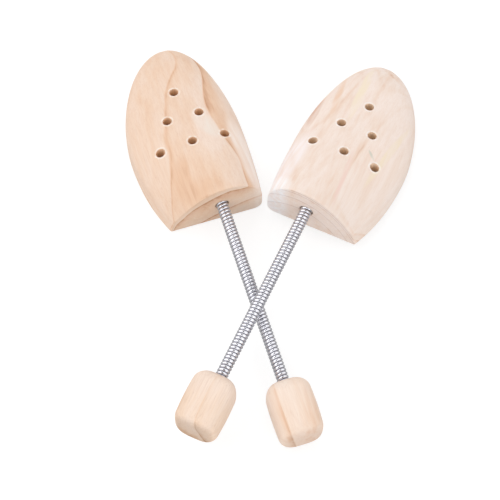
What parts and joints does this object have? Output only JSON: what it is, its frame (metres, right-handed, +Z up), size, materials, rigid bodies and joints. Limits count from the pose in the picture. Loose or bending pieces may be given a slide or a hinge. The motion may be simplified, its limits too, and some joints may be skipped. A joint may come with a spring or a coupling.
{
  "type": "shoe stretcher",
  "caption": "Pair of wooden shoe stretchers with vented forefoot blocks and rounded heel knobs on bending coil springs, lying crossed.",
  "frame": {"origin": "middle of the pair's bounding box, on the plane of the table it lies on", "axes": "+Y towards the toes, across both knobs to both blocks; +X to the right seen from above; +Z up from the table"},
  "size_m": [0.2036, 0.3038, 0.0454],
  "materials": {
    "pine": "sanded, bare",
    "knob_pine": "sanded, bare",
    "dowel": "bare",
    "spring_steel": "bright plated",
    "brad_steel": "bare"
  },
  "bodies": {
    "left_block": {"left_forefoot_block": "pine", "left_toe_plug": "dowel", "left_toe_brad": "brad_steel"},
    "left_spring": {"left_spring": "spring_steel"},
    "left_knob": {"left_heel_knob": "knob_pine", "left_heel_plug": "dowel", "left_heel_brad": "brad_steel"},
    "right_block": {"right_forefoot_block": "pine", "right_toe_plug": "dowel", "right_toe_brad": "brad_steel"},
    "right_spring": {"right_spring": "spring_steel"},
    "right_knob": {"right_heel_knob": "knob_pine", "right_heel_plug": "dowel", "right_heel_brad": "brad_steel"}
  },
  "joints": [
    {"name": "right_tree_lift", "type": "slide", "parent": "left_block", "child": "right_block", "axis": [0, 0, 1], "range_m": [0, 0.06]},
    {"name": "left_spring_swing", "type": "hinge", "parent": "left_block", "child": "left_spring", "pos_m": [-0.02295, -0.01328, 0.01851], "axis": [0, 0, 1], "range_deg": [-4, 25], "stiffness_Nm_per_rad": 0.49, "deforming": ["left_spring"]},
    {"name": "left_spring_lift", "type": "hinge", "parent": "left_spring", "child": "left_knob", "pos_m": [-0.00243, -0.07756, 0.01673], "axis": [-0.9527, -0.304, 0], "range_deg": [0, 45], "stiffness_Nm_per_rad": 0.49, "deforming": ["left_spring"]},
    {"name": "right_spring_swing", "type": "hinge", "parent": "right_block", "child": "right_spring", "pos_m": [0.00929, -0.01951, 0.0257], "axis": [0, 0, -1], "range_deg": [-4, 25], "stiffness_Nm_per_rad": 0.49, "deforming": ["right_spring"]},
    {"name": "right_spring_lift", "type": "hinge", "parent": "right_spring", "child": "right_knob", "pos_m": [-0.01923, -0.08068, 0.02676], "axis": [-0.9063, 0.4226, 0], "range_deg": [-8, 45], "stiffness_Nm_per_rad": 0.49, "deforming": ["right_spring"]}
  ]
}
